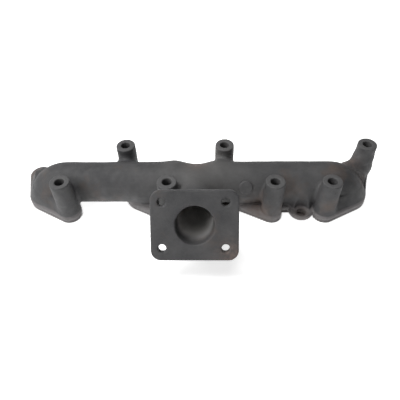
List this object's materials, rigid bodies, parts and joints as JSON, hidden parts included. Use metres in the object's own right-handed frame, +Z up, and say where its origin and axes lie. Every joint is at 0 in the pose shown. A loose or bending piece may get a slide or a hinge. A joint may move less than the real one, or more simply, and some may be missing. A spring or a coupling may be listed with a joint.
{
  "type": "exhaust manifold",
  "caption": "Cast-iron log exhaust manifold for an inline engine, with flanged ports, tall bolt bosses, a rising square outlet flange and a bracket lug.",
  "frame": {"origin": "under the centre of the bounding box, on the plane of the port (gasket) faces", "axes": "+X along the log, +Y away from the outlet, +Z up from the port faces along the bolt bosses"},
  "size_m": [0.3818, 0.1418, 0.0749],
  "materials": {
    "cast_iron": "matt grey as-cast skin with fine sand grain",
    "machined_iron": "cast flange with machined faces, dulled",
    "plug_steel": "dull turned plug"
  },
  "bodies": {
    "root": {"port_flange_1": "machined_iron", "port_flange_2": "machined_iron", "port_flange_3": "machined_iron", "port_flange_4": "machined_iron", "port_runner_1": "cast_iron", "port_runner_2": "cast_iron", "port_runner_3": "cast_iron", "port_runner_4": "cast_iron", "log_span_1_2": "cast_iron", "log_span_3_4": "cast_iron", "centre_junction": "cast_iron", "outlet_neck_lower": "cast_iron", "outlet_neck_upper": "cast_iron", "outlet_flange": "machined_iron", "bolt_boss_1_lower": "cast_iron", "bolt_boss_2_lower": "cast_iron", "bolt_boss_2_upper": "cast_iron", "bolt_boss_3_lower": "cast_iron", "bolt_boss_3_upper": "cast_iron", "bolt_boss_4_lower": "cast_iron", "bolt_boss_4_upper": "cast_iron", "bracket_lug": "cast_iron", "core_plug": "plug_steel"}
  },
  "joints": []
}
